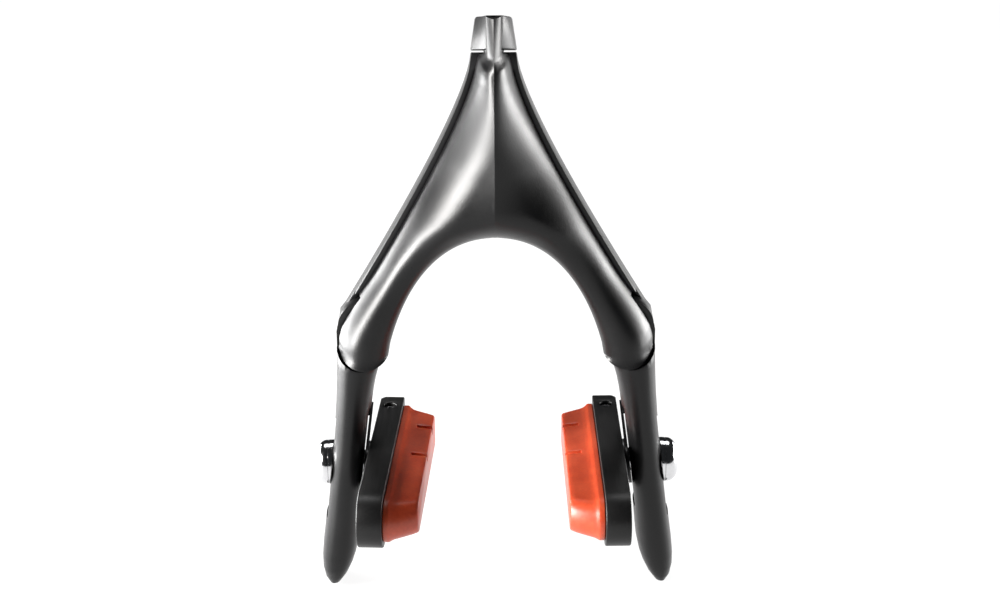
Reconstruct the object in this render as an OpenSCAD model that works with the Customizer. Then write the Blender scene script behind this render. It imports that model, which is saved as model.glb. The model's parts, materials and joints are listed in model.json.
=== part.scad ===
// Centre-pull rim brake caliper with a wedge carriage, two rollers and two pivoting arms.
// +Z up, -Y to the front, origin on the mounting bolt's axis at the rear mounting face.

/* [Body] */
// Half width of the backbone just below the nose cap
nose_half_w = 4.9; // [4.6:0.1:5.2]
// Height of the backbone's outline just below the nose cap
nose_base_z = 28.9; // [28:0.1:30]
// Height of the top of the arch over the tyre
arch_top_z = -5.1; // [-6:0.1:-5]
// Depth of the front ridge at its deepest
ridge_depth = 23.4; // [22.5:0.1:25]
// Depth of the crown at the shoulders
shoulder_depth = 19.4; // [18.5:0.1:21]
// Wall thickness of the front cover
cover_wall = 1.3; // [1:0.1:1.6]
// Lean of the cable line behind the vertical
cable_lean = 14; // [10:1:16]

/* [Arms] */
// Sideways distance of an arm pivot from the centre line
pivot_x = 27.4; // [27:0.1:27.8]
// Height of the arm pivots
pivot_z = -26.5; // [-27:0.1:-26]
// Radius of the round end of the cover about the pivot
end_r = 6.8; // [6.6:0.1:7]
// Gap between the cover's round end and the leg
end_gap = 0.35; // [0.3:0.05:0.5]
// Radius of the pivot bolt
pivot_r = 3; // [2.5:0.1:3]
// Lowest point of the legs
leg_tip_z = -86.2; // [-88:0.1:-84]

/* [Wedge] */
// Half angle of the wedge
wedge_half_angle = 28; // [26:1:30]
// Radius of the rollers
roller_r = 2.3; // [2.2:0.1:2.4]
// Sideways place of a roller at rest
roller_x = 4.6; // [4.5:0.1:4.7]
// Height of the rollers at rest
roller_z = 6.5; // [6.4:0.1:6.6]
// Gap between a roller and the wedge
roller_gap = 0.05; // [0.03:0.01:0.08]

/* [Pads] */
// Height of the pad bolts
pad_z = -58; // [-60:0.5:-56]
// Depth of the pad bolts behind the front plane
pad_y = -11; // [-12:0.5:-10]
// Length of the holder behind its bolt
holder_back = 20; // [18:0.5:21]
// Length of the holder in front of its bolt
holder_front = 31.5; // [30:0.5:33]
// Height of the holder
holder_h = 11.7; // [11:0.1:12.5]
// Thickness of the holder
holder_t = 5.2; // [4.8:0.1:5.3]
// How far the rubber stands out of the holder
pad_depth = 7; // [6:0.1:8]
// Toe angle of the left holder
toe_left = 3.4; // [0:0.1:4]
// Toe angle of the right holder
toe_right = 0.8; // [0:0.1:4]

/* [Mounting] */
// Radius of the mounting bolt
bolt_r = 3; // [2.5:0.5:3]
// Length of the mounting bolt behind the rear face
bolt_reach = 18; // [12:1:24]
// Radius of the cable housing's seat
housing_r = 2.55; // [2.1:0.05:2.6]

/* [Hidden] */
$fn = 48;

black = "#1d1d1f";
steel = "#b9bcc2";
dark_steel = "#55585e";
salmon = "#e2603c";

// Layers from the rear to the front
boss_y = -1.6;        // rear face of the backbone's boss
rear_y = -4;          // rear face of the plate
plate_y = -7.6;       // front face of the plate
rim_y = -10;          // joint between the backbone's rim and the cover
arm_y = -8;           // rear face of the arms
lever_y = -9.9;       // front face of the levers
eye_y = -11.2;        // front face of the arms' eyes
wedge_y = -11;        // rear face of the wedge and the rollers
wedge_front_y = -13.6; // front face of the wedge and the rollers
shell_y = -12.3;      // rear edge of the cover in front of the eyes
leg_back_y = -5;      // rear of the legs
leg_front_y = -18.6;  // front of the legs
wall = 1.1;           // walls of the backbone's rim
run = 0.05;           // radial running clearance
eye_r = 5.6;          // radius of the arms' eyes
strip = 1.1;          // width of the backbone's edge outside the cover
lip_r = 1.8;          // rounding of the cover's edge along the arch
lip_depth = 16.4;     // depth of the cover's front beside that rounding

slant = 18;           // slope of the nose's top and of the gap under the cap
top_z = 41.6;         // height of the nose's top at its front
cap_z = 34.8;         // height of the cap's underside at its front
nose_front_y = -16;   // depth at which the two heights above are measured
nose_wall_y = -9.5;   // front edge of the nose's side walls
tongue_half = 1.55;   // half width of the cover's tongue
tongue_y = -15.2;     // depth of the nose behind the tongue
cap_gap = 0.5;        // gap under the cap
housing_y = -8.55;    // depth of the housing's axis at its reference height
housing_z = 38.6;     // height of the housing's seat mouth
housing_len = 5;      // length of the housing's seat
spigot_r = 2;         // spigot of the nose cap in the backbone
spigot_end = 8.2;     // depth of the spigot's end below the seat's mouth
pocket_r = 2.9;       // flat pocket round the seat's mouth
cable_r = 1;          // cable hole
bolt_head_r = 3.75;   // head of the mounting bolt, behind the cover
bolt_head_y = -9.9;   // its front face
shank_step = 0.2;     // extra radius of its shank inside the body
magnet_r = 1;         // magnets that hold the cover
magnet_boss = 1.5;    // bosses of the cover round its magnets
magnet_places = [[4.5, 20.5], [7.9, -4.9]];
boss_front_y = -13.4; // front end of the cover's bosses
magnet_y = -6;        // rear end of the backbone's magnets
spring_r = 4.25;      // middle radius of the return springs
spring_wire = 0.35;   // radius of the springs' wire
bushing_r = 3.8;      // outside of the pivot bushings
web_y = -10.5;        // rear face of the web in an arm's eye
spring_turns = 2.5;
spring_pitch = 0.75;

leg_tilt = 6.6;       // lean of the legs at the pad bolts
leg_in_x = 28.4;      // inner flat of a leg at the bolt's height
leg_out_x = 35.2;     // outer flat of a leg at the bolt's height
slot_half = 4.2;      // half the travel of a pad bolt in its slot
pad_bolt_r = 2.5;
holder_x = 24.1;      // middle of a holder at its bolt
plate_t = 0.6;        // thickness of a slide plate
rubber_gap = 0.05;

// A cubic curve between two points, with two handles
function bez(p0, p1, p2, p3, t) =
    p0 * pow(1 - t, 3) + 3 * p1 * t * pow(1 - t, 2) + 3 * p2 * t * t * (1 - t) + p3 * pow(t, 3);
function mix(a, b, t) = a + (b - a) * t;
function smooth(t) = let (u = max(0, min(1, t))) u * u * (3 - 2 * u);

pivot = [pivot_x, pivot_z];
// Outer edge of the body from the nose to the shoulder, and the arch over the tyre
function outer(t) = bez([nose_half_w, nose_base_z], [7, 18.5], [21, -6], [31.6, -23.5], t);
function arch(t) = bez([0, arch_top_z], [10.5, arch_top_z], [18.2, -14.5], [21.9, -28.5], t);
// A point inside the outer edge, and the direction from the arch's edge into the body
function unit(v) = v / norm(v);
function inset(t, d) =
    let (along = unit(outer(t + 0.01) - outer(t - 0.01)))
    outer(t) + d * [along[1], -along[0]];
function arch_side(t) =
    let (along = unit(arch(t + 0.01) - arch(t - 0.01)))
    [-along[1], along[0]];
outer_edge = [for (i = [0:16]) outer(i / 16)];
arch_edge = [for (i = [1:12]) arch(1 - i / 12)];
end_arc = [for (a = [15:-14:-139]) pivot + eye_r * [cos(a), sin(a)]];
rim_inside_half = concat([[nose_half_w - wall, nose_base_z + 8]],
    [for (i = [0:16]) inset(i / 16, wall)], [for (p = end_arc) pivot + (p - pivot) * 0.8],
    [for (i = [1:12]) arch(1 - i / 12) + wall * arch_side(1 - i / 12)]);
body_half = concat([[nose_half_w - 1.1, nose_base_z + 8]], outer_edge, end_arc, arch_edge);
function both_halves(half) =
    concat(half, [for (i = [len(half) - 2:-1:0]) [-half[i][0], half[i][1]]]);
body_edge = both_halves(body_half);
rim_inside = both_halves(rim_inside_half);

// Puts a flat outline drawn in X and Z between two depths
module slab(front, back) {
    translate([0, back, 0]) rotate([90, 0, 0]) linear_extrude(back - front) children();
}
// A cylinder along Y between two depths
module rod(p, r, front, back) {
    translate([p[0], back, p[1]]) rotate([90, 0, 0]) cylinder(r = r, h = back - front);
}
// A cylinder along X between two places
module bar(x0, x1, y, z, r) {
    translate([x0, y, z]) rotate([0, 90, 0]) cylinder(r = r, h = x1 - x0);
}
module magnets(r, front, back) {
    for (place = magnet_places) rod(place, r, front, back);
}
module both() {
    children();
    mirror([1, 0, 0]) children();
}
// Everything above the nose's slanted plane that is z high at nose_front_y
module above(z) {
    translate([-20, nose_front_y, z]) rotate([-slant, 0, 0]) translate([0, -30, 0]) cube([40, 70, 60]);
}
// The housing's line through the nose, from start to end measured down from its mouth
module housing_line(r, start, end) {
    translate([0, housing_y, housing_z]) rotate([-cable_lean, 0, 0]) translate([0, 0, -end])
        cylinder(r = r, h = end - start);
}

// Nose section at one height: half width w, with side walls, flanks and a flat behind the tongue
module nose_column(low, high, w_low, w_high) {
    section = function (w) [[w, rear_y], [w, nose_wall_y], [tongue_half, tongue_y],
                            [-tongue_half, tongue_y], [-w, nose_wall_y], [-w, rear_y]];
    a = section(w_low);
    b = section(w_high);
    points = concat([for (p = a) [p[0], p[1], low]], [for (p = b) [p[0], p[1], high]]);
    n = len(a);
    sides = [for (i = [0:n - 1]) let (m = (i + 1) % n) each [[i, m, m + n], [i, m + n, i + n]]];
    polyhedron(points, concat(sides, [[for (i = [n - 1:-1:0]) i]], [[for (i = [0:n - 1]) i + n]]));
}

module backbone() {
    color(black) difference() {
        union() {
            slab(plate_y, rear_y) polygon(body_edge);
            difference() {
                slab(rim_y, plate_y) polygon(body_edge);
                slab(rim_y - 1, plate_y + 0.01) polygon(rim_inside);
                both() rod(pivot, end_r + end_gap, rim_y - 1, arm_y + 0.2);
            }
            slab(rim_y, plate_y) intersection() {
                polygon(body_edge);
                translate([-10, 28.7]) square([20, 12]);
            }
            rod([0, 0], 7, plate_y, boss_y);
        }
        above(cap_z - cap_gap);
        rod([0, 0], bolt_r + shank_step + 0.1, -20, 5);
        both() rod(pivot, pivot_r, -20, 5);
        housing_line(cable_r, -5, 30);
        housing_line(spigot_r + 0.05, -5, spigot_end);
        // groove for the wedge's key, seats of the magnets and holes of the springs
        translate([-1.5, plate_y - 4, 8.5]) cube([3, 6.4, 17]);
        both() magnets(magnet_r, -12, magnet_y);
        both() rod(pivot + [0, spring_r], spring_wire + 0.1, -9, -6.2);
    }
}

module nose_cap() {
    color(black) difference() {
        union() {
            difference() {
                nose_column(28, 44, 5.17, 2.85);
                above(top_z);
                difference() {
                    translate([-20, -40, 0]) cube([40, 60, 60]);
                    above(cap_z);
                }
            }
            intersection() {
                housing_line(spigot_r, 2, spigot_end);
                translate([-20, -40, 0]) cube([40, 60, 60]);
            }
        }
        housing_line(pocket_r, -12, 0);
        housing_line(housing_r, -12, housing_len);
        housing_line(cable_r, 0, 30);
    }
}

// The front cover: rows run down from the tongue to the round end, columns from the outer edge
// to the centre line or the arch.
columns = 12;
body_rows = 16;
apex_row = 14;
arc_first = -35;
arc_last = -138;
// Each row of the tongue and the flare: height, half width and depth of the edge
tongue_rows = [[top_z - 0.4, tongue_half, -15.25], [38, tongue_half, -15.25],
               [33.8, tongue_half, -15.25], [31.9, 3.05, rim_y], [30.3, 3.5, rim_y],
               [28.6, 3.8, rim_y]];
shoulder_rows = [[32.2, -25.8], [32.9, -28.2], pivot + end_r * [cos(arc_first), sin(arc_first)]];
flare = len(tongue_rows);
cover_outer = concat([for (row = tongue_rows) [row[1], row[0]]],
    [for (i = [1:body_rows]) inset(i / body_rows, strip * (1 - 0.5 * smooth(5 * i / body_rows - 4)))],
    shoulder_rows);
last_row = len(cover_outer) - 1;
arch_last = pivot + end_r * [cos(arc_last), sin(arc_last)];
cover_inner = concat(
    [for (row = tongue_rows) [0, row[0]]],
    [for (i = [flare:apex_row])
        [0, mix(28.6, arch_top_z, pow((i - flare + 1) / (apex_row - flare + 1), 0.9))]],
    [for (i = [apex_row + 1:last_row - 2]) arch((i - apex_row) / (last_row - 2 - apex_row))],
    [mix(arch(1), arch_last, 0.5), arch_last]);
edge_depth = [for (i = [0:last_row]) i < flare ? tongue_rows[i][2] : rim_y];
arch_line = concat([for (i = [-4:14]) let (p = arch(abs(i) / 14)) [i < 0 ? -p[0] : p[0], p[1]]],
    [arch_last]);

// Distance from a point to a line of points
function to_segment(p, a, b) =
    norm(p - a - (b - a) * max(0, min(1, ((p - a) * (b - a)) / ((b - a) * (b - a)))));
function reach(p, edge) = min([for (i = [1:len(edge) - 1]) to_segment(p, edge[i - 1], edge[i])]);
function roll(d, r) = sqrt(1 - pow(1 - min(d / r, 1), 2.2));
function lip_drop(d) = lip_r * (1 - sqrt(1 - pow(1 - min(d / lip_r, 1), 2)));
function spine(z) = ridge_depth - 0.0036 * pow(max(z - 2, 0), 2);
function crease(p) = 3.8 * (1 - exp(-abs(p[0]) / 7)) * smooth((p[1] + 4) / 14);
function front_depth(p, edge) =
    let (
        arch_d = reach(p, arch_line),
        centre = smooth(1 - abs(p[0]) / 20),
        crown = mix(shoulder_depth, spine(p[1]), centre) - crease(p),
        rise = 1 - pow(1 - min(arch_d / 8, 1), 2),
        low = mix(lip_depth, crown, rise) - lip_drop(arch_d),
        side_roll = mix(8.5, 2.6, smooth((p[1] - 12) / 22))
    )
    edge - (low + edge) * roll(reach(p, cover_outer), side_roll);

// Place [x, z] on row i at the share v across, with the last rows bent to the round end
function cover_place(i, v) =
    let (
        straight = mix(cover_outer[i], cover_inner[i], v),
        angle = mix(arc_first, arc_last, v),
        bow = pivot + end_r * [cos(angle), sin(angle)] - mix(cover_outer[last_row], arch_last, v)
    )
    straight + bow * smooth((i - last_row + 6) / 6);
function column_share(j) = (1 - cos(180 * min(j, columns) / columns)) / 2;
// One point of the cover: layer 0 is the outside and 1 the inside, side is 1 or -1
function cover_point(i, j, layer, side) =
    let (
        width = norm(cover_outer[i] - cover_inner[i]),
        in_wall = layer * min(cover_wall / width, 0.3),
        v = mix(in_wall, i < apex_row ? 1 : 1 - in_wall, column_share(j)),
        on_centre = i == apex_row && j >= columns,
        p = on_centre ? [0, arch_top_z + layer * cover_wall] : cover_place(i, v),
        front = front_depth(p, edge_depth[i]),
        back = min(front + 1.2 * cover_wall, edge_depth[i])
    )
    [side * p[0], j > columns ? rim_y : layer == 0 ? front : j == 0 ? edge_depth[i] : back, p[1]];

across = columns + 2;
half_count = 2 * across * (last_row + 1);
function cover_index(i, j, layer, side) =
    (side > 0 || (i <= apex_row && j >= columns) ? 0 : half_count)
    + layer * across * (last_row + 1) + i * across + j;
// Two triangles between four corners given as [row, column, layer]
function patch(a, b, c, d, side) =
    let (q = [for (k = [a, b, c, d]) cover_index(k[0], k[1], k[2], side)])
    side > 0 ? [[q[2], q[1], q[0]], [q[3], q[2], q[0]]] : [[q[0], q[1], q[2]], [q[0], q[2], q[3]]];
cover_faces = [for (side = [1, -1]) each concat(
    [for (i = [0:last_row - 1], j = [0:columns]) if (j < columns || i >= apex_row)
        each patch([i, j, 0], [i, j + 1, 0], [i + 1, j + 1, 0], [i + 1, j, 0], side)],
    [for (i = [0:last_row - 1], j = [0:columns]) if (j < columns || i >= apex_row)
        each patch([i + 1, j, 1], [i + 1, j + 1, 1], [i, j + 1, 1], [i, j, 1], side)],
    [for (i = [0:last_row - 1])
        each patch([i, 0, 0], [i + 1, 0, 0], [i + 1, 0, 1], [i, 0, 1], side)],
    [for (i = [apex_row:last_row - 1])
        each patch([i, columns + 1, 0], [i, columns + 1, 1], [i + 1, columns + 1, 1],
                   [i + 1, columns + 1, 0], side)],
    [for (j = [0:columns - 1])
        each patch([0, j + 1, 0], [0, j, 0], [0, j, 1], [0, j + 1, 1], side)],
    [for (j = [0:columns])
        each patch([last_row, j, 0], [last_row, j + 1, 0], [last_row, j + 1, 1], [last_row, j, 1], side)])];

module front_cover() {
    color(black) difference() {
        union() {
            polyhedron([for (side = [1, -1], layer = [0, 1], i = [0:last_row], j = [0:across - 1])
                cover_point(i, j, layer, side)], cover_faces);
            both() magnets(magnet_boss, boss_front_y, rim_y - 0.4);
        }
        both() rod(pivot, end_r + end_gap, shell_y, -5);
        both() magnets(magnet_r, -12, -5);
    }
}
module cover_magnets() {
    color(steel) both() magnets(magnet_r, -12, rim_y - 0.4);
}
module frame_magnets() {
    color(steel) both() magnets(magnet_r, rim_y - 0.2, magnet_y);
}

// Bolt through the backbone, with a socket in its head
module mounting_bolt() {
    color(steel) difference() {
        union() {
            rod([0, 0], bolt_head_r, bolt_head_y, plate_y);
            rod([0, 0], bolt_r + shank_step, plate_y, 0);
            rod([0, 0], bolt_r, 0, bolt_reach);
        }
        slab(-12, bolt_head_y + 1.4) circle(r = 2.3, $fn = 6);
    }
}
module mounting_washer() {
    color(steel) difference() {
        rod([0, 0], 7, boss_y, 0);
        rod([0, 0], bolt_r + shank_step + 0.1, -3, 1);
    }
}

// Edges of a leg, from the cover's round end to the tip
function leg_inner(s) = s < 0.35 ? bez([22.3, -29.5], [26.2, -36.5], [25.9, -43], [27.4, -50], s / 0.35)
    : s < 0.75 ? bez([27.4, -50], [28.3, -58], [29.2, -66], [29.9, -74.5], (s - 0.35) / 0.4)
    : bez([29.9, -74.5], [30.5, -80], [32.6, leg_tip_z + 1], [35.4, leg_tip_z], (s - 0.75) / 0.25);
function leg_outer(s) = s < 0.75 ? bez([33.3, -27.5], [33.1, -44], [36, -62], [37.5, -74.5], s / 0.75)
    : bez([37.5, -74.5], [38.7, -82], [38.3, leg_tip_z], [35.4, leg_tip_z], (s - 0.75) / 0.25);
leg_rows = 22;
leg_sides = 24;
function leg_ring(s) =
    let (
        a = leg_inner(s),
        b = leg_outer(s),
        front = mix(leg_front_y, leg_front_y + 1.6, s),
        squeeze = sqrt(max(0, 1 - pow(max(0, (s - 0.72) / 0.28), 2))),
        half_d = (leg_back_y - front) / 2 * mix(0.45, 1, squeeze)
    )
    [for (k = [0:leg_sides - 1])
        let (
            angle = 360 * k / leg_sides,
            c = cos(angle),
            n = sin(angle),
            p = mix(a, b, (1 + sign(c) * pow(abs(c), 0.85)) / 2)
        )
        [p[0], (leg_back_y + front) / 2 + half_d * sign(n) * pow(abs(n), 0.8), p[1]]];
leg_points = [for (i = [0:leg_rows]) each leg_ring(0.995 * i / leg_rows)];
leg_faces = concat(
    [for (i = [0:leg_rows - 1], k = [0:leg_sides - 1])
        let (m = (k + 1) % leg_sides, r = i * leg_sides)
        each [[r + k, r + m, r + leg_sides + m], [r + k, r + leg_sides + m, r + leg_sides + k]]],
    [for (k = [1:leg_sides - 2]) [0, k + 1, k]],
    [for (k = [1:leg_sides - 2]) let (r = leg_rows * leg_sides) [r, r + k, r + k + 1]]);

// Bends of the lever between the pivot and the roller, and the tension screw in it
lever_knee = [17.6, -9.4];
lever_bend = [9.6, 1.8];
tension_place = mix(pivot, lever_knee, 0.52);

// Shapes that lean with the leg about the pad bolt's height
module leaned(x) {
    translate([x, 0, pad_z]) rotate([0, -leg_tilt, 0]) children();
}
module arm() {
    difference() {
        union() {
            difference() {
                polyhedron(leg_points, leg_faces);
                rod(pivot, end_r + end_gap, -30, 0);
                leaned(leg_in_x - 20) translate([0, -25, -12]) cube([20, 30, 24]);
                leaned(leg_out_x) translate([0, -25, -12]) cube([20, 30, 24]);
            }
            rod(pivot, eye_r, eye_y, arm_y);
            slab(eye_y, arm_y) polygon(concat([for (s = [0:0.05:0.3]) leg_inner(s)],
                [for (s = [0.3:-0.05:0]) leg_outer(s)]));
            slab(lever_y, arm_y) hull() {
                translate(pivot) circle(r = 2.9);
                translate(lever_knee) circle(r = 2);
            }
            slab(lever_y, arm_y) hull() {
                translate(lever_knee) circle(r = 2);
                translate(lever_bend) circle(r = 2.1);
            }
            slab(lever_y, arm_y) hull() {
                translate(lever_bend) circle(r = 2.1);
                translate([roller_x, roller_z]) circle(r = 2.1);
            }
        }
        rod(pivot, bushing_r, -20, 0);
        rod(pivot, spring_r + 0.55, web_y, 0);
        rod([roller_x, roller_z], 1, -20, 0);
        rod(tension_place, 1.5, -20, 0);
        bar(20, 45, pad_y, pad_z + slot_half, pad_bolt_r + 0.1);
        bar(20, 45, pad_y, pad_z - slot_half, pad_bolt_r + 0.1);
        translate([20, pad_y - pad_bolt_r - 0.1, pad_z - slot_half])
            cube([25, 2 * pad_bolt_r + 0.2, 2 * slot_half]);
    }
}

module left_arm() {
    color(black) mirror([1, 0, 0]) arm();
}
module right_arm() {
    color(black) arm();
}

module pivot_bolt() {
    difference() {
        union() {
            rod(pivot, pivot_r, eye_y - 0.1, rear_y);
            rod(pivot, 3.7, eye_y - 0.9, eye_y - 0.1);
        }
        slab(eye_y - 2, eye_y + 0.6) translate(pivot) circle(r = 1.5, $fn = 6);
    }
}
module left_pivot_bolt() {
    color(dark_steel) mirror([1, 0, 0]) pivot_bolt();
}
module right_pivot_bolt() {
    color(dark_steel) pivot_bolt();
}
module bushing() {
    difference() {
        rod(pivot, bushing_r, eye_y, plate_y - 0.1);
        rod(pivot, pivot_r + run, -20, 0);
    }
}
module left_bushing() {
    color("#a98a4e") mirror([1, 0, 0]) bushing();
}
module right_bushing() {
    color("#a98a4e") bushing();
}

// Roller, and the pin that is pressed into the lever behind it
module roller() {
    difference() {
        rod([roller_x, roller_z], roller_r, wedge_front_y, wedge_y);
        rod([roller_x, roller_z], 1 + run, -20, 0);
    }
}
module roller_pin() {
    rod([roller_x, roller_z], 1, wedge_front_y - 0.1, arm_y);
    rod([roller_x, roller_z], 1.8, wedge_front_y - 0.6, wedge_front_y - 0.1);
}
module left_roller() {
    color(steel) mirror([1, 0, 0]) roller();
}
module right_roller() {
    color(steel) roller();
}
module left_roller_pin() {
    color(dark_steel) mirror([1, 0, 0]) roller_pin();
}
module right_roller_pin() {
    color(dark_steel) roller_pin();
}

// Torsion spring round a bushing, with its rear tang in the backbone
coil_steps = 20;
coil_sides = 6;
coil_rings = spring_turns * coil_steps;
coil_back = -8.1;
function coil_ring(i) =
    let (angle = 90 - 360 * i / coil_steps)
    [for (k = [0:coil_sides - 1])
        let (a = 360 * k / coil_sides, r = spring_r + spring_wire * cos(a))
        [pivot[0] + r * cos(angle), coil_back - spring_pitch * i / coil_steps + spring_wire * sin(a),
         pivot[1] + r * sin(angle)]];
coil_points = [for (i = [0:coil_rings]) each coil_ring(i)];
coil_faces = concat(
    [for (i = [0:coil_rings - 1], k = [0:coil_sides - 1])
        let (m = (k + 1) % coil_sides, r = i * coil_sides)
        each [[r + k, r + m, r + coil_sides + m], [r + k, r + coil_sides + m, r + coil_sides + k]]],
    [[for (k = [coil_sides - 1:-1:0]) k]],
    [[for (k = [0:coil_sides - 1]) coil_rings * coil_sides + k]]);
module return_spring() {
    polyhedron(coil_points, coil_faces);
    rod(pivot + [0, spring_r], spring_wire - 0.06, coil_back - 0.2, -6.3);
}
module left_return_spring() {
    color(steel) mirror([1, 0, 0]) return_spring();
}
module right_return_spring() {
    color(steel) return_spring();
}

// Set screw in the lever, which bears on the spring's front end
module tension_screw() {
    difference() {
        rod(tension_place, 1.5, lever_y - 0.4, arm_y - 0.1);
        slab(-20, lever_y + 1) translate(tension_place) circle(r = 0.8, $fn = 6);
    }
}
module left_tension_screw() {
    color(dark_steel) mirror([1, 0, 0]) tension_screw();
}
module right_tension_screw() {
    color(dark_steel) tension_screw();
}

// The wedge: flanks that touch the rollers, a stem for the cable anchor and a key in the groove
flank = [cos(wedge_half_angle), sin(wedge_half_angle)];
touch = [roller_x, roller_z] - (roller_r + roller_gap) * flank;
function flank_x(z) = touch[0] + (touch[1] - z) * tan(wedge_half_angle);
wedge_low_z = -2;
wedge_high_z = 6;
anchor_z = 12;
module wedge() {
    color(dark_steel) difference() {
        union() {
            slab(wedge_front_y, wedge_y) polygon([
                [flank_x(-1), wedge_low_z], [flank_x(-1), -1], [flank_x(wedge_high_z), wedge_high_z],
                [flank_x(wedge_high_z), 9], [2.6, 10], [2.6, 15.6], [-2.6, 15.6], [-2.6, 10],
                [-flank_x(wedge_high_z), 9], [-flank_x(wedge_high_z), wedge_high_z],
                [-flank_x(-1), -1], [-flank_x(-1), wedge_low_z]]);
            translate([-1.4, wedge_y - 0.5, 9.4]) cube([2.8, 5.9, 6.2]);
        }
        rod([0, anchor_z], 1.5, -20, -8);
        translate([1.9, wedge_front_y - 1, 9]) cube([0.9, 2, 8]);
    }
}
module cable_anchor_bolt() {
    color(steel) difference() {
        union() {
            rod([0, anchor_z], 1.45, wedge_front_y - 0.8, -9);
            rod([0, anchor_z], 2.6, wedge_front_y - 2.2, wedge_front_y - 0.8);
        }
        slab(-20, wedge_front_y - 1.4) translate([0, anchor_z]) circle(r = 1.3, $fn = 6);
    }
}
module cable_anchor_washer() {
    color(steel) difference() {
        rod([0, anchor_z], 3, wedge_front_y - 0.8, wedge_front_y);
        rod([0, anchor_z], 1.5, -20, 0);
    }
}

// Pad parts are drawn on the right and mirrored; toe is the holder's yaw about its bolt
module toed(toe) {
    translate([holder_x, pad_y, pad_z]) rotate([0, 0, toe]) children();
}
// Side outline of the holder or the rubber: round at the front, squared at the rear
module runner(x0, x1, half, back, front) {
    translate([x0, 0, 0]) {
        translate([0, -front + half, -half]) cube([x1 - x0, front + back - half, 2 * half]);
        bar(0, x1 - x0, -front + half, 0, half);
    }
}
module pad_holder(toe) {
    color("#27272a") difference() {
        toed(toe) runner(-holder_t / 2, holder_t / 2, holder_h / 2, holder_back, holder_front);
        bar(holder_x - 1, 40, pad_y, pad_z, pad_bolt_r + run);
        toed(toe) translate([0.2, holder_back - 4.6, 0]) cylinder(r = 1.3, h = 20);
        toed(toe) translate([holder_t / 2, holder_back, -10]) rotate([0, 0, 45])
            translate([-0.8, -0.8, 0]) cube([1.6, 1.6, 20]);
    }
}
module pad(toe) {
    face = holder_t / 2 + pad_depth;
    color(salmon) toed(toe) difference() {
        union() {
            runner(-holder_t / 2 - 1.6, -holder_t / 2 - rubber_gap, 4.7, holder_back - 1.5,
                holder_front - 1.2);
            hull() {
                runner(-holder_t / 2 - 1.7, -holder_t / 2 - 1.5, 4.3, holder_back - 2.2,
                    holder_front - 1.8);
                runner(-face, -face + 0.2, 3.6, holder_back - 4.2, holder_front - 4.6);
            }
        }
        for (y = [-4.5, 8.5]) translate([-face - 1, y, 2.2]) cube([4.4, 1.2, 5]);
    }
}
module pad_screw(toe) {
    color(dark_steel) toed(toe) difference() {
        translate([0.2, holder_back - 4.6, 0]) cylinder(r = 1.25, h = holder_h / 2 - 0.8);
        translate([0.2, holder_back - 4.6, holder_h / 2 - 2]) cylinder(r = 0.7, h = 5, $fn = 6);
    }
}
head_x = leg_out_x + 0.7;
module pad_bolt() {
    color(steel) difference() {
        union() {
            bar(holder_x, head_x, pad_y, pad_z, pad_bolt_r);
            translate([head_x, pad_y, pad_z]) rotate([0, 90, 0]) rotate_extrude() polygon(concat(
                [[0, 0], [4.75, 0]], [for (a = [0:15:90]) [2.2 + 2.55 * cos(a), 0.4 + 2.3 * sin(a)]],
                [[0, 2.7]]));
        }
        translate([head_x + 1, pad_y, pad_z]) rotate([0, 90, 0]) cylinder(r = 1.5, h = 5, $fn = 6);
    }
}
module bolt_washer() {
    color(steel) difference() {
        bar(leg_out_x - 2, head_x, pad_y, pad_z, 4.8);
        bar(0, 50, pad_y, pad_z, pad_bolt_r + 0.1);
        leaned(leg_out_x - 10) translate([0, -25, -12]) cube([10, 30, 24]);
    }
}
module slide_plate() {
    color(black) difference() {
        leaned(leg_in_x - plate_t) rotate([0, 90, 0]) linear_extrude(plate_t) hull() {
            translate([0, -13]) circle(r = 4.2);
            translate([0, -7]) circle(r = 4.2);
            translate([-3.4, 10]) circle(r = 0.5);
        }
        bar(0, 50, pad_y, pad_z, pad_bolt_r + 0.15);
    }
}
module dome_washer(toe) {
    color(dark_steel) difference() {
        bar(holder_x, leg_in_x + 2, pad_y, pad_z, 4.4);
        bar(0, 50, pad_y, pad_z, pad_bolt_r + 0.1);
        leaned(leg_in_x - plate_t) translate([0, -25, -12]) cube([10, 30, 24]);
        toed(toe) translate([holder_t / 2 - 9.94, -20, -12]) cube([10, 40, 24]);
    }
}
module left_pad_holder() {
    mirror([1, 0, 0]) pad_holder(toe_left);
}
module right_pad_holder() {
    pad_holder(toe_right);
}
module left_pad() {
    mirror([1, 0, 0]) pad(toe_left);
}
module right_pad() {
    pad(toe_right);
}
module left_pad_screw() {
    mirror([1, 0, 0]) pad_screw(toe_left);
}
module right_pad_screw() {
    pad_screw(toe_right);
}
module left_pad_bolt() {
    mirror([1, 0, 0]) pad_bolt();
}
module right_pad_bolt() {
    pad_bolt();
}
module left_bolt_washer() {
    mirror([1, 0, 0]) bolt_washer();
}
module right_bolt_washer() {
    bolt_washer();
}
module left_dome_washer() {
    mirror([1, 0, 0]) dome_washer(toe_left);
}
module right_dome_washer() {
    dome_washer(toe_right);
}
module left_slide_plate() {
    mirror([1, 0, 0]) slide_plate();
}
module right_slide_plate() {
    slide_plate();
}

backbone();
nose_cap();
front_cover();
cover_magnets();
frame_magnets();
mounting_bolt();
mounting_washer();
left_arm();
right_arm();
left_pivot_bolt();
right_pivot_bolt();
left_bushing();
right_bushing();
left_roller();
right_roller();
left_roller_pin();
right_roller_pin();
left_return_spring();
right_return_spring();
left_tension_screw();
right_tension_screw();
wedge();
cable_anchor_bolt();
cable_anchor_washer();
left_pad_holder();
right_pad_holder();
left_pad();
right_pad();
left_pad_screw();
right_pad_screw();
left_pad_bolt();
right_pad_bolt();
left_bolt_washer();
right_bolt_washer();
left_dome_washer();
right_dome_washer();
left_slide_plate();
right_slide_plate();
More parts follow.
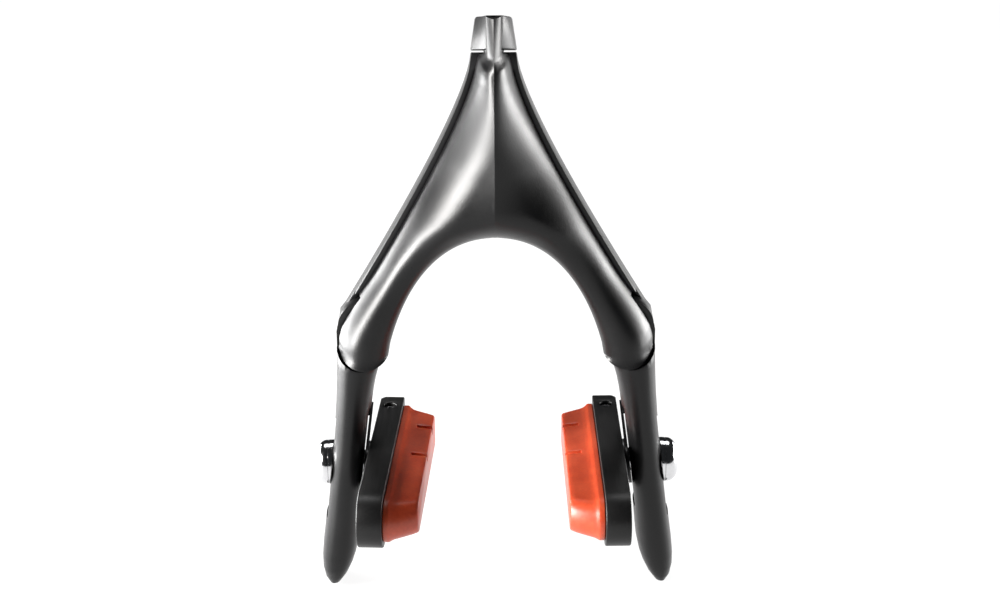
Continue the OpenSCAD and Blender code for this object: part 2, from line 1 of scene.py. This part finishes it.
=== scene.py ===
"""Rim brake caliper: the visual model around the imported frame. Metres; lengths below are in mm."""
import json
import math
import bmesh
import bpy
import numpy as np
from mathutils import Matrix, Vector


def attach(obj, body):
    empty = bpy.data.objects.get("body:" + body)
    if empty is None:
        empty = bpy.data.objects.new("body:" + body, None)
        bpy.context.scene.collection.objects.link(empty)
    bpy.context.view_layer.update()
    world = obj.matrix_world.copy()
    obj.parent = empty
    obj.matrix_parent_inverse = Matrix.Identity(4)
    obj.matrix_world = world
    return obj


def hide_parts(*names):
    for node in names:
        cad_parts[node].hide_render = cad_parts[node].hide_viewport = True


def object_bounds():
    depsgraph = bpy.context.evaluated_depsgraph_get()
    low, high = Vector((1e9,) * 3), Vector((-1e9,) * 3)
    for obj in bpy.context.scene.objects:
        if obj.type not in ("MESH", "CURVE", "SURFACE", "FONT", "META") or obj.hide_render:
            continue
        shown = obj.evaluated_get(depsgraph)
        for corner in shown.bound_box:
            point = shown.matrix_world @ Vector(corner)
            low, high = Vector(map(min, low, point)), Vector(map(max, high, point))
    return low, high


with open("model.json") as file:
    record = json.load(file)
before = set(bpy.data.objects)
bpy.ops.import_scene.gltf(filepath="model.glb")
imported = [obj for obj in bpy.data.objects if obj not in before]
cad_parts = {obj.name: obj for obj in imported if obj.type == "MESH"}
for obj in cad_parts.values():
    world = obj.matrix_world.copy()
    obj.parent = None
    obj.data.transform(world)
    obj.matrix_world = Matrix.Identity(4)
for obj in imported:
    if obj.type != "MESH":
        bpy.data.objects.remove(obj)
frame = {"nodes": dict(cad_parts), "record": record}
cad_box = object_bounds()
MM = 0.001

# Driving dimensions of the cover, the arms and the pads, as in the CAD
NOSE_HALF_W, NOSE_BASE_Z, ARCH_TOP_Z = 4.9, 28.9, -5.1
RIDGE_DEPTH, SHOULDER_DEPTH, COVER_WALL = 23.4, 19.4, 1.3
STRIP, LIP_R, LIP_DEPTH, RIM_Y = 1.1, 1.8, 16.4, -10.0
SIDE_ROLL, NOSE_ROLL, ARCH_RISE = 8.5, 2.6, 8
CREASE_DEPTH, CREASE_WIDTH = 3.8, 7
SHELL_Y = -12.3
PIVOT, END_R, END_GAP = np.array([27.4, -26.5]), 6.8, 0.35
TOP_Z, TONGUE_HALF, TONGUE_EDGE_Y = 41.6, 1.55, -15.25
LEG_OUT_X = 35.2
PAD_Y, PAD_Z, HOLDER_X = -11.0, -58.0, 24.1
HOLDER_BACK, HOLDER_FRONT, HOLDER_H, HOLDER_T = 20.0, 31.5, 11.7, 5.2
PAD_DEPTH, RUBBER_GAP = 7.0, 0.05
GROOVE_PLACES, GROOVE_W, GROOVE_LOW, GROOVE_DEPTH = (-4.5, 8.5), 1.2, 2.2, 3.4
RUN_STEPS = 24
PAD_BOLT_R = 2.5
TOE = {"left": 3.4, "right": 0.8}
SIDES = {"left": -1, "right": 1}


# ---------------------------------------------------------------- camera and light
def add_camera():
    """Camera at the height, distance and lens that show the part as seen from the front."""
    elevation, distance = math.radians(23.5), 0.450
    target = Vector((0, -0.011, -0.024))
    away = Vector((0, -math.cos(elevation), math.sin(elevation)))
    data = bpy.data.cameras.new("camera")
    data.lens, data.sensor_width = 77.76, 36
    data.shift_x, data.shift_y = 0.0043, 0.0147
    data.clip_start = 0.01
    cam = bpy.data.objects.new("camera", data)
    tilt = Matrix.Rotation(math.pi / 2 - elevation, 4, "X") @ Matrix.Rotation(math.radians(-0.45), 4, "Z")
    cam.matrix_world = Matrix.Translation(target + away * distance) @ tilt
    bpy.context.scene.collection.objects.link(cam)
    bpy.context.scene.camera = cam


def add_softbox(name, place, aim, size, radiance, colour=(1, 1, 1)):
    """Rectangular soft light; radiance is the brightness of its face."""
    data = bpy.data.lights.new(name, "AREA")
    data.shape, data.size, data.size_y = "RECTANGLE", size[0], size[1]
    data.energy = radiance * math.pi * size[0] * size[1]
    data.color = colour
    light = bpy.data.objects.new(name, data)
    direction = Vector(aim) - Vector(place)
    light.location = place
    light.visible_camera = False
    light.rotation_euler = direction.to_track_quat("-Z", "Y").to_euler()
    bpy.context.scene.collection.objects.link(light)


def add_studio():
    """Pale floor, a soft key on the left, two low cards, a rim light and one overhead."""
    add_softbox("key", (-0.62, -0.20, 0.06), (0, -0.01, -0.03), (0.22, 0.5), 55, (1, 0.985, 0.965))
    add_softbox("low_left", (-0.16, 0.03, -0.045), (0, -0.01, -0.055), (0.2, 0.08), 20)
    add_softbox("low_right", (0.17, 0.05, -0.045), (0, -0.01, -0.055), (0.16, 0.08), 6)
    add_softbox("rim", (0.50, 0.26, -0.01), (0, -0.01, -0.04), (0.25, 0.15), 16, (1, 0.99, 0.98))
    add_softbox("top", (0, 0.55, 0.95), (0, 0, 0), (0.9, 0.4), 5)
    world = bpy.data.worlds.new("studio")
    world.use_nodes = True
    tree = world.node_tree
    dim, pale = tree.nodes["Background"], tree.nodes.new("ShaderNodeBackground")
    dim.inputs[0].default_value = (0.9, 0.95, 1, 1)
    dim.inputs[1].default_value = 0.02
    pale.inputs[0].default_value = (1, 1, 1, 1)
    pale.inputs[1].default_value = 1
    mixed = tree.nodes.new("ShaderNodeMixShader")
    tree.links.new(tree.nodes.new("ShaderNodeLightPath").outputs["Is Camera Ray"], mixed.inputs[0])
    tree.links.new(dim.outputs[0], mixed.inputs[1])
    tree.links.new(pale.outputs[0], mixed.inputs[2])
    tree.links.new(mixed.outputs[0], tree.nodes["World Output"].inputs[0])
    bpy.context.scene.world = world
    bpy.context.scene.view_settings.view_transform = "Standard"
    low = cad_box[0][2]
    bm = bmesh.new()
    bmesh.ops.create_grid(bm, x_segments=24, y_segments=24, size=12)
    mesh = bpy.data.meshes.new("floor")
    bm.to_mesh(mesh)
    bm.free()
    floor = bpy.data.objects.new("floor", mesh)
    floor.location = (0, 0, low - 0.0002)
    bpy.context.scene.collection.objects.link(floor)
    mat = bpy.data.materials.new("floor")
    mat.use_nodes = True
    shader = mat.node_tree.nodes["Principled BSDF"]
    shader.inputs["Base Color"].default_value = (0.1, 0.1, 0.1, 1)
    shader.inputs["Roughness"].default_value = 0.7
    shader.inputs["Emission Color"].default_value = (1, 1, 1, 1)
    shader.inputs["Emission Strength"].default_value = 0.92
    mesh.materials.append(mat)


# ---------------------------------------------------------------- materials
def node(tree, kind, **values):
    """A shader node with its sockets set by name."""
    made = tree.nodes.new(kind)
    for key, value in values.items():
        made.inputs[key].default_value = value
    return made


def ranged(tree, source, low, high, to_low, to_high):
    made = node(tree, "ShaderNodeMapRange")
    for key, value in zip(("From Min", "From Max", "To Min", "To Max"), (low, high, to_low, to_high)):
        made.inputs[key].default_value = value
    tree.links.new(source, made.inputs["Value"])
    return made.outputs["Result"]


def blend_colour(tree, factor, first, second):
    made = tree.nodes.new("ShaderNodeMix")
    made.data_type = "RGBA"
    tree.links.new(factor, made.inputs["Factor"])
    for socket, value in ((6, first), (7, second)):
        if isinstance(value, tuple):
            made.inputs[socket].default_value = (*value, 1)
        else:
            tree.links.new(value, made.inputs[socket])
    return made.outputs[2]


def surface(name, dark, light, rough, grain, bump, stretch=(1, 1, 1), metallic=0.0, worn=None,
            blotch=90, **extra):
    """Procedural finish: grain in colour, roughness and bump, blotches, and worn edges."""
    mat = bpy.data.materials.new(name)
    mat.use_nodes = True
    tree = mat.node_tree
    shader = tree.nodes["Principled BSDF"]
    shader.inputs["Metallic"].default_value = metallic
    for key, value in extra.items():
        shader.inputs[key].default_value = value
    coords = tree.nodes.new("ShaderNodeTexCoord").outputs["Object"]
    mapping = node(tree, "ShaderNodeMapping", Scale=stretch)
    tree.links.new(coords, mapping.inputs["Vector"])
    fine = node(tree, "ShaderNodeTexNoise", Scale=grain, Detail=4.0, Roughness=0.6)
    tree.links.new(mapping.outputs["Vector"], fine.inputs["Vector"])
    broad = node(tree, "ShaderNodeTexNoise", Scale=blotch, Detail=3.0)
    tree.links.new(coords, broad.inputs["Vector"])
    grain_factor = ranged(tree, fine.outputs["Fac"], 0.3, 0.7, 0, 1)
    blotch_factor = ranged(tree, broad.outputs["Fac"], 0.35, 0.65, 0, 0.5)
    both = tree.nodes.new("ShaderNodeMath")
    both.operation = "MULTIPLY_ADD"
    both.inputs[1].default_value = 0.5
    tree.links.new(grain_factor, both.inputs[0])
    tree.links.new(blotch_factor, both.inputs[2])
    colour = blend_colour(tree, both.outputs[0], dark, light)
    if worn:
        geometry = tree.nodes.new("ShaderNodeNewGeometry")
        edge = ranged(tree, geometry.outputs["Pointiness"], 0.53, 0.62, 0, 0.6)
        colour = blend_colour(tree, edge, colour, worn)
    tree.links.new(colour, shader.inputs["Base Color"])
    tree.links.new(ranged(tree, both.outputs[0], 0, 1, rough[0], rough[1]), shader.inputs["Roughness"])
    bumped = node(tree, "ShaderNodeBump", Strength=bump[0], Distance=bump[1] * MM)
    tree.links.new(fine.outputs["Fac"], bumped.inputs["Height"])
    tree.links.new(bumped.outputs["Normal"], shader.inputs["Normal"])
    return mat


# Finish of each of the record's material slots; grain and blotch are noise scales, bump is
# strength and height in mm
FINISHES = {
    "satin_black": {"dark": (0.0008, 0.0008, 0.0011), "light": (0.0035, 0.0034, 0.0036),
                    "rough": (0.27, 0.38), "grain": 2600, "bump": (0.6, 0.03),
                    "worn": (0.012, 0.012, 0.0125), "Specular IOR Level": 0.32},
    "machined_black": {"dark": (0.0015, 0.0015, 0.0017), "light": (0.006, 0.0058, 0.0058),
                       "rough": (0.34, 0.48), "grain": 2400, "bump": (0.5, 0.03),
                       "stretch": (1, 0.05, 1), "worn": (0.03, 0.03, 0.03),
                       "Specular IOR Level": 0.35},
    "pad_rubber": {"dark": (0.38, 0.04, 0.014), "light": (0.54, 0.075, 0.025),
                   "rough": (0.3, 0.42), "grain": 1500, "bump": (0.25, 0.04), "blotch": 160,
                   "Subsurface Weight": 0.15, "Subsurface Radius": (1.0, 0.28, 0.1),
                   "Subsurface Scale": 0.0022},
    "polished_steel": {"dark": (0.62, 0.62, 0.63), "light": (0.72, 0.72, 0.73),
                       "rough": (0.08, 0.16), "grain": 1800, "bump": (0.08, 0.01),
                       "metallic": 1.0},
    "steel": {"dark": (0.42, 0.42, 0.43), "light": (0.56, 0.56, 0.57), "rough": (0.25, 0.4),
              "grain": 2000, "bump": (0.25, 0.015), "stretch": (1, 0.1, 1), "metallic": 1.0},
    "dark_steel": {"dark": (0.10, 0.10, 0.105), "light": (0.17, 0.17, 0.175),
                   "rough": (0.3, 0.45), "grain": 2000, "bump": (0.3, 0.015), "metallic": 1.0,
                   "worn": (0.35, 0.35, 0.36)},
    "bronze": {"dark": (0.42, 0.27, 0.11), "light": (0.56, 0.38, 0.17), "rough": (0.35, 0.5),
               "grain": 2600, "bump": (0.4, 0.02), "metallic": 1.0},
}


# ---------------------------------------------------------------- mesh helpers
def smooth_group(degrees):
    """Node group that shades smooth and keeps edges sharper than the angle sharp."""
    tree = bpy.data.node_groups.new("smooth_by_angle", "GeometryNodeTree")
    tree.interface.new_socket("Geometry", in_out="INPUT", socket_type="NodeSocketGeometry")
    tree.interface.new_socket("Geometry", in_out="OUTPUT", socket_type="NodeSocketGeometry")
    start, end = tree.nodes.new("NodeGroupInput"), tree.nodes.new("NodeGroupOutput")
    drop = tree.nodes.new("GeometryNodeRemoveAttribute")
    drop.inputs["Name"].default_value = "custom_normal"
    faces = tree.nodes.new("GeometryNodeSetShadeSmooth")
    edges = tree.nodes.new("GeometryNodeSetShadeSmooth")
    edges.domain = "EDGE"
    edges.inputs["Shade Smooth"].default_value = False
    angle = tree.nodes.new("GeometryNodeInputMeshEdgeAngle")
    sharp = tree.nodes.new("FunctionNodeCompare")
    sharp.data_type, sharp.operation = "FLOAT", "GREATER_THAN"
    sharp.inputs[1].default_value = math.radians(degrees)
    tree.links.new(angle.outputs[0], sharp.inputs[0])
    tree.links.new(sharp.outputs[0], edges.inputs["Selection"])
    for a, b in ((start, drop), (drop, faces), (faces, edges), (edges, end)):
        tree.links.new(a.outputs[0], b.inputs[0])
    return tree


def soften(obj, bevel=0.0, weld=False, limit=40, segments=2):
    """Welds, rounds the sharp edges by bevel mm and shades by angle."""
    if weld:
        obj.modifiers.new("weld", "WELD").merge_threshold = 0.002 * MM
    if bevel:
        mod = obj.modifiers.new("bevel", "BEVEL")
        mod.width, mod.segments = bevel * MM, segments
        mod.limit_method, mod.angle_limit = "ANGLE", math.radians(limit)
    obj.modifiers.new("shade", "NODES").node_group = SMOOTH


def piece(name, points, faces, body, slot, replaces=()):
    """A new piece from points in mm, riding on a body and finished from a material slot."""
    mesh = bpy.data.meshes.new(name)
    mesh.from_pydata([tuple(float(c) * MM for c in p) for p in points], [], faces)
    mesh.validate()
    obj = bpy.data.objects.new(name, mesh)
    bpy.context.scene.collection.objects.link(obj)
    bm = bmesh.new()
    bm.from_mesh(mesh)
    bmesh.ops.remove_doubles(bm, verts=bm.verts, dist=1e-7)
    bmesh.ops.recalc_face_normals(bm, faces=bm.faces)
    bm.to_mesh(mesh)
    bm.free()
    mesh.materials.append(MATERIALS[slot])
    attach(obj, body)
    if replaces:
        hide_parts(*replaces)
    return obj


def loft(rings):
    """Points and faces of a closed solid through rings with equal numbers of points."""
    count = len(rings[0])
    points = [p for ring in rings for p in ring]
    faces = [[i * count + k, i * count + (k + 1) % count,
              (i + 1) * count + (k + 1) % count, (i + 1) * count + k]
             for i in range(len(rings) - 1) for k in range(count)]
    faces.append(list(range(count))[::-1])
    faces.append([(len(rings) - 1) * count + k for k in range(count)])
    return points, faces


def combine(obj, others, operation):
    """Applies booleans with temporary solids, given as (points, faces) in mm."""
    for points, faces in others:
        mesh = bpy.data.meshes.new("tool")
        mesh.from_pydata([tuple(float(c) * MM for c in p) for p in points], [], faces)
        bm = bmesh.new()
        bm.from_mesh(mesh)
        bmesh.ops.recalc_face_normals(bm, faces=bm.faces)
        bm.to_mesh(mesh)
        bm.free()
        tool = bpy.data.objects.new("tool", mesh)
        bpy.context.scene.collection.objects.link(tool)
        mod = obj.modifiers.new("cut", "BOOLEAN")
        mod.operation, mod.object, mod.solver = operation, tool, "EXACT"
        bpy.context.view_layer.update()
        done = bpy.data.meshes.new_from_object(obj.evaluated_get(bpy.context.evaluated_depsgraph_get()))
        obj.modifiers.remove(mod)
        obj.data = done
        bpy.data.objects.remove(tool)


def prism(outline, low, high, axis):
    """Solid from an outline: axis 'x' extrudes [y, z] along X, 'y' extrudes [x, z] along Y."""
    place = {"x": lambda p, d: (d, p[0], p[1]), "y": lambda p, d: (p[0], d, p[1]),
             "z": lambda p, d: (p[0], p[1], d)}[axis]
    return loft([[place(p, low) for p in outline], [place(p, high) for p in outline]])


def disc(centre, radius, count=48):
    return [(centre[0] + radius * math.cos(2 * math.pi * k / count),
             centre[1] + radius * math.sin(2 * math.pi * k / count)) for k in range(count)]


def flip(solid):
    """Mirrors a solid's points across the centre plane."""
    points, faces = solid
    return [(-p[0], p[1], p[2]) for p in points], [f[::-1] for f in faces]


# ---------------------------------------------------------------- the front cover
def bez(p0, p1, p2, p3, t):
    p0, p1, p2, p3 = (np.array(p, float) for p in (p0, p1, p2, p3))
    return p0 * (1 - t) ** 3 + 3 * p1 * t * (1 - t) ** 2 + 3 * p2 * t * t * (1 - t) + p3 * t ** 3


def smooth(t):
    t = np.clip(t, 0, 1)
    return t * t * (3 - 2 * t)


def outer(t):
    return bez((NOSE_HALF_W, NOSE_BASE_Z), (7, 18.5), (21, -6), (31.6, -23.5), t)


def arch(t):
    return bez((0, ARCH_TOP_Z), (10.5, ARCH_TOP_Z), (18.2, -14.5), (21.9, -28.5), t)


def inset(t, depth):
    along = outer(t + 0.01) - outer(t - 0.01)
    along /= np.linalg.norm(along)
    return outer(t) + depth * np.array([along[1], -along[0]])


def on_arc(degrees):
    return PIVOT + END_R * np.array([math.cos(math.radians(degrees)), math.sin(math.radians(degrees))])


TONGUE = [(TOP_Z - 0.4, TONGUE_HALF, TONGUE_EDGE_Y), (38, TONGUE_HALF, TONGUE_EDGE_Y),
          (33.8, TONGUE_HALF, TONGUE_EDGE_Y), (31.9, 3.05, RIM_Y), (30.3, 3.5, RIM_Y), (28.6, 3.8, RIM_Y)]
BODY_ROWS, APEX_ROW, ARC_FIRST, ARC_LAST = 16, 14, -35, -138
FLARE = len(TONGUE)
SHOULDER = [np.array([32.2, -25.8]), np.array([32.9, -28.2]), on_arc(ARC_FIRST)]
LAST_ROW = FLARE + BODY_ROWS + len(SHOULDER) - 1


def between(values, u):
    """Linear value between whole rows."""
    i = min(int(u), len(values) - 2)
    return np.asarray(values[i], float) * (1 - u + i) + np.asarray(values[i + 1], float) * (u - i)


def outer_at(u):
    """Outer edge [x, z] of the cover on row u."""
    first = FLARE - 1
    if u <= first:
        return between([(row[1], row[0]) for row in TONGUE], u)
    if u < first + 1:
        return between([(TONGUE[-1][1], TONGUE[-1][0]), inset(1 / BODY_ROWS, STRIP)], u - first)
    if u <= first + BODY_ROWS:
        t = (u - first) / BODY_ROWS
        return inset(t, STRIP * (1 - 0.5 * smooth(5 * t - 4)))
    edge = [inset(1, STRIP * 0.5)] + SHOULDER
    return between(edge, u - first - BODY_ROWS)


def inner_at(u):
    """Inner edge [x, z] of the cover on row u: the centre line, then the arch."""
    if u <= FLARE - 1:
        return np.array([0, between([row[0] for row in TONGUE], u)])
    if u <= APEX_ROW:
        share = (u - FLARE + 1) / (APEX_ROW - FLARE + 1)
        return np.array([0, 28.6 + (ARCH_TOP_Z - 28.6) * share ** 0.9])
    if u <= LAST_ROW - 2:
        return arch((u - APEX_ROW) / (LAST_ROW - 2 - APEX_ROW))
    return between([arch(1), (arch(1) + on_arc(ARC_LAST)) / 2, on_arc(ARC_LAST)], u - LAST_ROW + 2)


def edge_depth_at(u):
    depths = [row[2] for row in TONGUE] + [RIM_Y] * (LAST_ROW + 1 - FLARE)
    return float(between(depths, u))


OUTER_LINE = np.array([outer_at(i / 4) for i in range(4 * LAST_ROW + 1)])
ARCH_LINE = np.array([arch(abs(i) / 48) * ((-1, 1) if i < 0 else (1, 1)) for i in range(-16, 49)]
                     + [on_arc(ARC_LAST)])


def reach(p, line):
    """Distance from p to a line of points."""
    a, d = line[:-1], line[1:] - line[:-1]
    t = np.clip(((p - a) * d).sum(1) / (d * d).sum(1), 0, 1)
    return float(np.linalg.norm(p - a - d * t[:, None], axis=1).min())


def roll(d, r):
    return math.sqrt(max(0.0, 1 - (1 - min(d / r, 1)) ** 2.2))


def front_depth(p, edge):
    """Depth y of the cover's outside at [x, z]."""
    arch_d = reach(p, ARCH_LINE)
    centre = smooth(1 - abs(p[0]) / 20)
    spine = RIDGE_DEPTH - 0.0036 * max(p[1] - 2, 0) ** 2
    crease = CREASE_DEPTH * (1 - math.exp(-abs(p[0]) / CREASE_WIDTH)) * smooth((p[1] + 4) / 14)
    crown = SHOULDER_DEPTH + (spine - SHOULDER_DEPTH) * centre - crease
    lip = LIP_R * (1 - math.sqrt(max(0.0, 1 - (1 - min(arch_d / LIP_R, 1)) ** 2)))
    rise = 1 - (1 - min(arch_d / ARCH_RISE, 1)) ** 2
    low = LIP_DEPTH + (crown - LIP_DEPTH) * rise - lip
    side_roll = SIDE_ROLL + (NOSE_ROLL - SIDE_ROLL) * smooth((p[1] - 12) / 22)
    return edge - (low + edge) * roll(reach(p, OUTER_LINE), side_roll)


def cover_place(u, v):
    straight = outer_at(u) * (1 - v) + inner_at(u) * v
    angle = ARC_FIRST + (ARC_LAST - ARC_FIRST) * v
    bow = on_arc(angle) - (on_arc(ARC_FIRST) * (1 - v) + on_arc(ARC_LAST) * v)
    return straight + bow * smooth((u - LAST_ROW + 6) / 6)


def build_cover():
    """The cover as a shell, with finer rows and columns than the CAD solid."""
    fine, columns = 4, 40
    rows = [i / fine for i in range(fine * LAST_ROW + 1)]
    apex = APEX_ROW * fine
    points, index = [], {}

    def add(i, j, layer, side):
        u = rows[i]
        centre = i <= apex and j >= columns
        key = (i, j, layer, 1 if centre else side)
        if key in index:
            return index[key]
        width = np.linalg.norm(outer_at(u) - inner_at(u))
        wall = layer * min(COVER_WALL / width, 0.3)
        share = (1 - math.cos(math.pi * min(j, columns) / columns)) / 2
        last = 1 if i < apex else 1 - wall
        p = cover_place(u, wall + (last - wall) * share)
        if i == apex and j >= columns:
            p = np.array([0, ARCH_TOP_Z + layer * COVER_WALL])
        if centre:
            p[0] = 0
        edge = edge_depth_at(u)
        front = front_depth(p, edge)
        back = min(front + 1.2 * COVER_WALL, edge)
        y = RIM_Y if j > columns else front if layer == 0 else edge if j == 0 else back
        index[key] = len(points)
        points.append((side * p[0], y, p[1]))
        return index[key]

    faces = []

    def quad(corners, side):
        q = [add(*corner, side) for corner in corners]
        q = [a for k, a in enumerate(q) if a != q[k - 1]]
        if len(set(q)) > 2:
            faces.append(q if side < 0 else q[::-1])

    for side in (1, -1):
        for i in range(len(rows) - 1):
            across = columns + 1 if i >= apex else columns
            for j in range(across):
                quad([(i, j, 0), (i, j + 1, 0), (i + 1, j + 1, 0), (i + 1, j, 0)], side)
                quad([(i + 1, j, 1), (i + 1, j + 1, 1), (i, j + 1, 1), (i, j, 1)], side)
            quad([(i, 0, 0), (i + 1, 0, 0), (i + 1, 0, 1), (i, 0, 1)], side)
            if i >= apex:
                j = columns + 1
                quad([(i, j, 0), (i, j, 1), (i + 1, j, 1), (i + 1, j, 0)], side)
        end = len(rows) - 1
        for j in range(columns):
            quad([(0, j, 0), (0, j, 1), (0, j + 1, 1), (0, j + 1, 0)], side)
        for j in range(columns + 1):
            quad([(end, j, 0), (end, j + 1, 0), (end, j + 1, 1), (end, j, 1)], side)
    obj = piece("cover_shell", points, faces, "cover", "satin_black", ["front_cover"])
    room = prism(disc(PIVOT, END_R + END_GAP, 96), SHELL_Y, -5, "y")
    combine(obj, [room, flip(room)], "DIFFERENCE")
    soften(obj)


# ---------------------------------------------------------------- pads, holders and bolts
def toed(side, points):
    """Moves points from a holder's own frame to its place on one side."""
    angle = math.radians(TOE[side])
    c, s = math.cos(angle), math.sin(angle)
    sign = SIDES[side]
    return [(sign * (HOLDER_X + p[0] * c - p[1] * s), PAD_Y + p[0] * s + p[1] * c, PAD_Z + p[2])
            for p in points]


def runner(half, back, front, corner):
    """Side outline [y, z]: a full round at the front and small corners of radius corner behind."""
    nose = [(-front + half - half * math.sin(math.radians(a)), -half * math.cos(math.radians(a)))
            for a in range(0, 181, 6)]
    straight = back - corner + front - half
    lower = [(back - corner - straight * k / RUN_STEPS, -half) for k in range(1, RUN_STEPS)]
    upper = [(y, -z) for y, z in lower[::-1]]
    rear = [(back, (half - corner) * (1 - k / 3)) for k in range(1, 6)]

    def rear_corner(sign, start):
        turns = [math.radians(start - 15 * k) for k in range(7)]
        return [(back - corner + corner * math.cos(a), sign * (half - corner) + corner * math.sin(a))
                for a in turns]

    return nose + upper + rear_corner(1, 90) + rear + rear_corner(-1, 0) + lower


def build_holder(side):
    """Machined pad holder with rounded edges, a rear chamfer and the hole of its screw."""
    half_t = HOLDER_T / 2
    outline = runner(HOLDER_H / 2, HOLDER_BACK, HOLDER_FRONT, 0.6)
    points, faces = prism(outline, -half_t, half_t, "x")
    obj = piece(side + "_holder_body", toed(side, points), faces, side + "_shoe", "machined_black",
                [side + "_pad_holder"])
    cuts = [prism(disc((0.2, HOLDER_BACK - 4.6), 1.3, 32), 0, 20, "z"),
            prism([(half_t - 1.2, HOLDER_BACK + 0.01), (half_t + 0.01, HOLDER_BACK - 1.2),
                   (half_t + 2, HOLDER_BACK + 2)], -10, 10, "z")]
    combine(obj, [(toed(side, p), f) for p, f in cuts], "DIFFERENCE")
    bore = prism(disc((PAD_Y, PAD_Z), PAD_BOLT_R + 0.05, 48), HOLDER_X - 1, 40, "x")
    combine(obj, [bore if side == "right" else flip(bore)], "DIFFERENCE")
    soften(obj, bevel=0.28, limit=35, segments=3)


def build_pad(side):
    """Rubber pad: a flange, a hollow step to a narrower body, rounded edges and two grooves."""
    base, face = HOLDER_T / 2 + RUBBER_GAP, HOLDER_T / 2 + PAD_DEPTH
    # distance from the holder, half height, rear end and front end of each ring
    profile = [(0, 4.55, 18.35, 30.15), (0.15, 4.7, 18.5, 30.3), (1.0, 4.7, 18.5, 30.3),
               (1.25, 4.62, 18.4, 30.2), (1.6, 4.4, 18.05, 29.95), (2.1, 4.17, 17.7, 29.7),
               (2.8, 4.03, 17.4, 29.4), (4.0, 3.9, 17.0, 28.8), (5.6, 3.75, 16.4, 27.9),
               (6.55, 3.66, 15.95, 27.2), (6.8, 3.55, 15.8, 27.0), (6.95, 3.35, 15.6, 26.8)]
    rings = [[(-base - d * (face - base) / 6.95, y, z) for y, z in runner(half, back, front, 1.0)]
             for d, half, back, front in profile]
    points, faces = loft(rings)
    obj = piece(side + "_pad_rubber", toed(side, points), faces, side + "_shoe", "pad_rubber",
                [side + "_pad"])
    groove = [(0, GROOVE_LOW), (0.15, GROOVE_LOW - 0.2), (GROOVE_W - 0.15, GROOVE_LOW - 0.2),
              (GROOVE_W, GROOVE_LOW), (GROOVE_W, 7), (0, 7)]
    grooves = [prism([(place + y, z) for y, z in groove], -face - 1, -face + GROOVE_DEPTH, "x")
               for place in GROOVE_PLACES]
    combine(obj, [(toed(side, p), f) for p, f in grooves], "DIFFERENCE")
    soften(obj, bevel=0.1, limit=50)


def build_bolt(side):
    """Button-head bolt with a hexagon socket."""
    head_x = LEG_OUT_X + 0.7
    profile = [(HOLDER_X, 0.01), (HOLDER_X, PAD_BOLT_R - 0.3), (HOLDER_X + 0.3, PAD_BOLT_R),
               (head_x, PAD_BOLT_R), (head_x, 4.6), (head_x + 0.1, 4.74), (head_x + 0.35, 4.75)]
    profile += [(head_x + 0.4 + 2.3 * math.sin(a), 2.2 + 2.55 * math.cos(a))
                for a in (math.radians(d) for d in range(5, 91, 5))]
    profile.append((head_x + 2.7, 0.01))
    sign = SIDES[side]
    rings = [[(sign * x, PAD_Y + y, PAD_Z + z) for y, z in disc((0, 0), r, 64)] for x, r in profile]
    points, faces = loft(rings)
    obj = piece(side + "_button_bolt", points, faces, side + "_pad_mount", "polished_steel",
                [side + "_pad_bolt"])
    socket = prism(disc((PAD_Y, PAD_Z), 1.5, 6), head_x + 1, head_x + 6, "x")
    combine(obj, [socket if side == "right" else flip(socket)], "DIFFERENCE")
    soften(obj)


# ---------------------------------------------------------------- build
SMOOTH = smooth_group(38)
MATERIALS = {slot: surface(slot, **finish) for slot, finish in FINISHES.items()}
SLOT_OF = {row["node"]: row["material_slot"] for row in frame["record"]["subparts"]}
ROUNDED = {"backbone": 0.22, "nose_cap": 0.3, "left_arm": 0.12, "right_arm": 0.12, "mounting_bolt": 0.15,
           "mounting_washer": 0.15, "wedge": 0.12}

add_camera()
add_studio()
for name, obj in frame["nodes"].items():
    obj.data.materials.clear()
    obj.data.materials.append(MATERIALS[SLOT_OF[name]])
    soften(obj, bevel=ROUNDED.get(name, 0.05), weld=True)
build_cover()
for side in SIDES:
    build_holder(side)
    build_pad(side)
    build_bolt(side)
